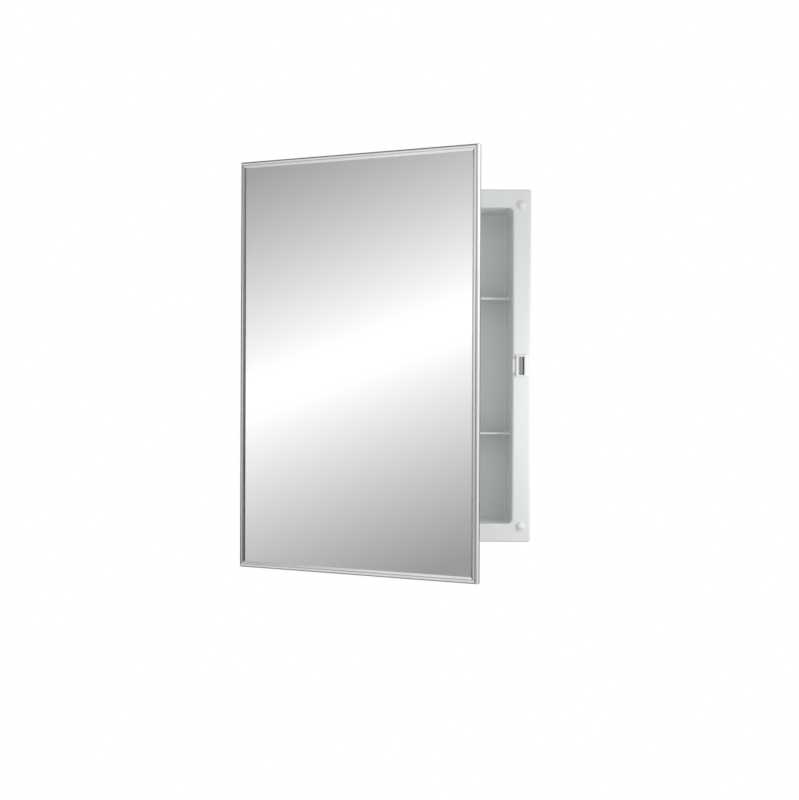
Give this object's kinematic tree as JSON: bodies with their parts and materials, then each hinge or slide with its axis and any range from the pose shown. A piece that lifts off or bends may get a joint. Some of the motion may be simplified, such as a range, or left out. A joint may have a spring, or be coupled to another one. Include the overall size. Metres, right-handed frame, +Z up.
{
  "type": "medicine cabinet with mirror",
  "caption": "Recessed bathroom medicine cabinet: a shelved plastic tub with a wall flange, and a side-hung mirror door in a slim steel frame held shut by a magnetic catch.",
  "frame": {"origin": "centre of the cabinet's flange on the wall plane, on the face of the rim that bears on the wall", "axes": "+X to the right seen from the room, away from the hinge; +Y into the wall, out of the flange's bearing face; +Z up, the door's long way"},
  "size_m": [0.4016, 0.3466, 0.5588],
  "materials": {
    "white_plastic": "satin, moulded",
    "bumper_plastic": "satin, slightly translucent",
    "catch_plastic": "satin, moulded",
    "magnet": "dull, dark ceramic magnet",
    "catch_steel": "plain zinc-plated",
    "hinge_steel": "plain",
    "rivet_steel": "plain",
    "frame_steel": "bright, finely polished",
    "key_plastic": "plain",
    "mirror": "silvered glass",
    "board": "plain",
    "painted_panel": "satin white",
    "strike_steel": "zinc-plated"
  },
  "bodies": {
    "cabinet": {"cabinet_shell": "white_plastic", "upper_shelf": "white_plastic", "lower_shelf": "white_plastic", "bumper_top": "bumper_plastic", "bumper_bottom": "bumper_plastic", "catch_housing": "catch_plastic", "catch_magnet": "magnet", "catch_pole_left": "catch_steel", "catch_pole_right": "catch_steel", "hinge_cabinet_leaf": "hinge_steel", "hinge_cabinet_rivets": "rivet_steel", "hinge_pin": "hinge_steel"},
    "door": {"hinge_door_leaf": "hinge_steel", "hinge_door_rivets": "rivet_steel", "frame_left": "frame_steel", "frame_right": "frame_steel", "frame_top": "frame_steel", "frame_bottom": "frame_steel", "corner_key_top_left": "key_plastic", "corner_key_top_right": "key_plastic", "corner_key_bottom_left": "key_plastic", "corner_key_bottom_right": "key_plastic", "mirror_glass": "mirror", "mirror_pad": "board", "door_back_panel": "painted_panel", "strike_plate": "strike_steel", "strike_rivets": "rivet_steel"}
  },
  "joints": [
    {"name": "door_hinge", "type": "hinge", "parent": "cabinet", "child": "door", "pos_m": [-0.19717, -0.0085, 0], "axis": [0, 0, -1], "range_deg": [-38.2, 59.8]}
  ]
}
